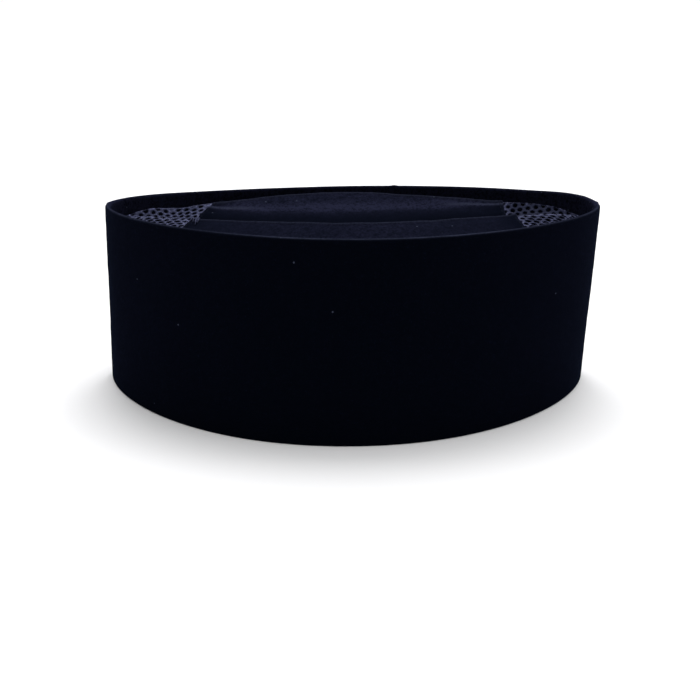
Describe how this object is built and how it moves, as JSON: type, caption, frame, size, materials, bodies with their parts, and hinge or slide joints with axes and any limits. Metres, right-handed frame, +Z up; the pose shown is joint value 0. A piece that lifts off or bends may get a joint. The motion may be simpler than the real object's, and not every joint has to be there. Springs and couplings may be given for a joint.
{
  "type": "songkok",
  "caption": "Oval velvet cap without a brim, with a flat-topped side band, a crown sunk below the rim in a pressed fold, and net panels at both ends of the crown.",
  "frame": {"origin": "middle of the lower edge's oval, on the plane the cap rests on", "axes": "+X along the cap's length from its front net to its rear net, +Y across it, +Z up"},
  "size_m": [0.2248, 0.155, 0.0815],
  "materials": {
    "velvet": "black velvet with a short even pile, faintly blue where it is seen at a low angle",
    "netting": "dark grey knitted net of thick soft strands"
  },
  "bodies": {
    "root": {"side_band": "velvet", "crown_panel": "velvet", "front_net": "netting", "rear_net": "netting"}
  },
  "joints": []
}
